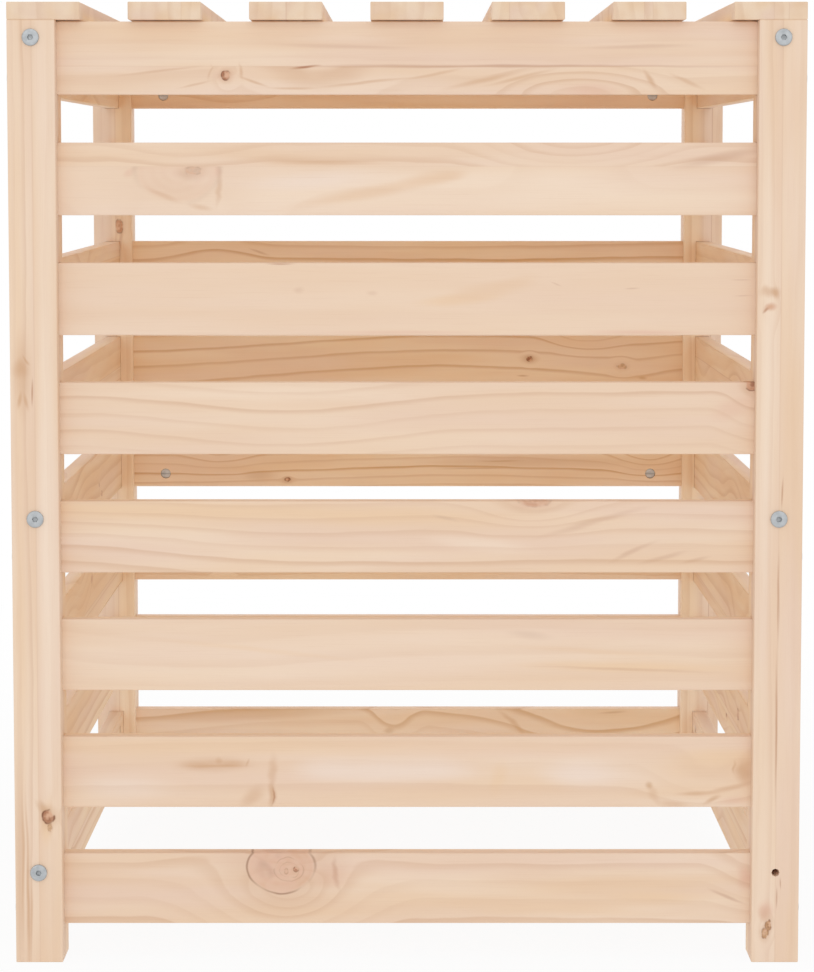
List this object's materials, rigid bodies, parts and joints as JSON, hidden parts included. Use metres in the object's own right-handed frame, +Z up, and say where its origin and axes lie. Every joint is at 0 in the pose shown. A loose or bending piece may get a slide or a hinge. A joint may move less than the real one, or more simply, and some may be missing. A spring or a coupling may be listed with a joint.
{
  "type": "compost bin",
  "caption": "Square slatted pine compost bin with corner posts, bolted rail walls open to the ground and a lift-off slatted lid, for rotting down garden waste.",
  "frame": {"origin": "middle of the footprint, on the ground under the posts", "axes": "+X to the right seen from the front, +Y from the front wall to the back wall, +Z up"},
  "size_m": [0.639, 0.639, 0.775],
  "materials": {
    "post_pine": "planed, untreated",
    "rail_pine": "planed, untreated",
    "lid_pine": "planed, untreated",
    "bolt_zinc": "zinc plated",
    "nut_zinc": "zinc plated",
    "screw_steel": "zinc plated"
  },
  "bodies": {
    "frame": {"post_front_left": "post_pine", "post_front_right": "post_pine", "post_back_left": "post_pine", "post_back_right": "post_pine", "front_rail_1": "rail_pine", "front_rail_2": "rail_pine", "front_rail_3": "rail_pine", "front_rail_4": "rail_pine", "front_rail_5": "rail_pine", "front_rail_6": "rail_pine", "front_rail_7": "rail_pine", "front_rail_8": "rail_pine", "back_rail_1": "rail_pine", "back_rail_2": "rail_pine", "back_rail_3": "rail_pine", "back_rail_4": "rail_pine", "back_rail_5": "rail_pine", "back_rail_6": "rail_pine", "back_rail_7": "rail_pine", "back_rail_8": "rail_pine", "left_rail_1": "rail_pine", "left_rail_2": "rail_pine", "left_rail_3": "rail_pine", "left_rail_4": "rail_pine", "left_rail_5": "rail_pine", "left_rail_6": "rail_pine", "left_rail_7": "rail_pine", "left_rail_8": "rail_pine", "right_rail_1": "rail_pine", "right_rail_2": "rail_pine", "right_rail_3": "rail_pine", "right_rail_4": "rail_pine", "right_rail_5": "rail_pine", "right_rail_6": "rail_pine", "right_rail_7": "rail_pine", "right_rail_8": "rail_pine", "front_bolts": "bolt_zinc", "back_bolts": "bolt_zinc", "left_bolts": "bolt_zinc", "right_bolts": "bolt_zinc", "front_rail_nuts": "nut_zinc", "back_rail_nuts": "nut_zinc", "left_rail_nuts": "nut_zinc", "right_rail_nuts": "nut_zinc"},
    "lid": {"lid_board_1": "lid_pine", "lid_board_2": "lid_pine", "lid_board_3": "lid_pine", "lid_board_4": "lid_pine", "lid_board_5": "lid_pine", "lid_board_6": "lid_pine", "lid_board_7": "lid_pine", "lid_batten_front": "lid_pine", "lid_batten_back": "lid_pine", "lid_screws": "screw_steel"}
  },
  "joints": [
    {"name": "lid_lift", "type": "slide", "parent": "frame", "child": "lid", "axis": [0, 0, 1], "range_m": [0, 0.3]}
  ]
}
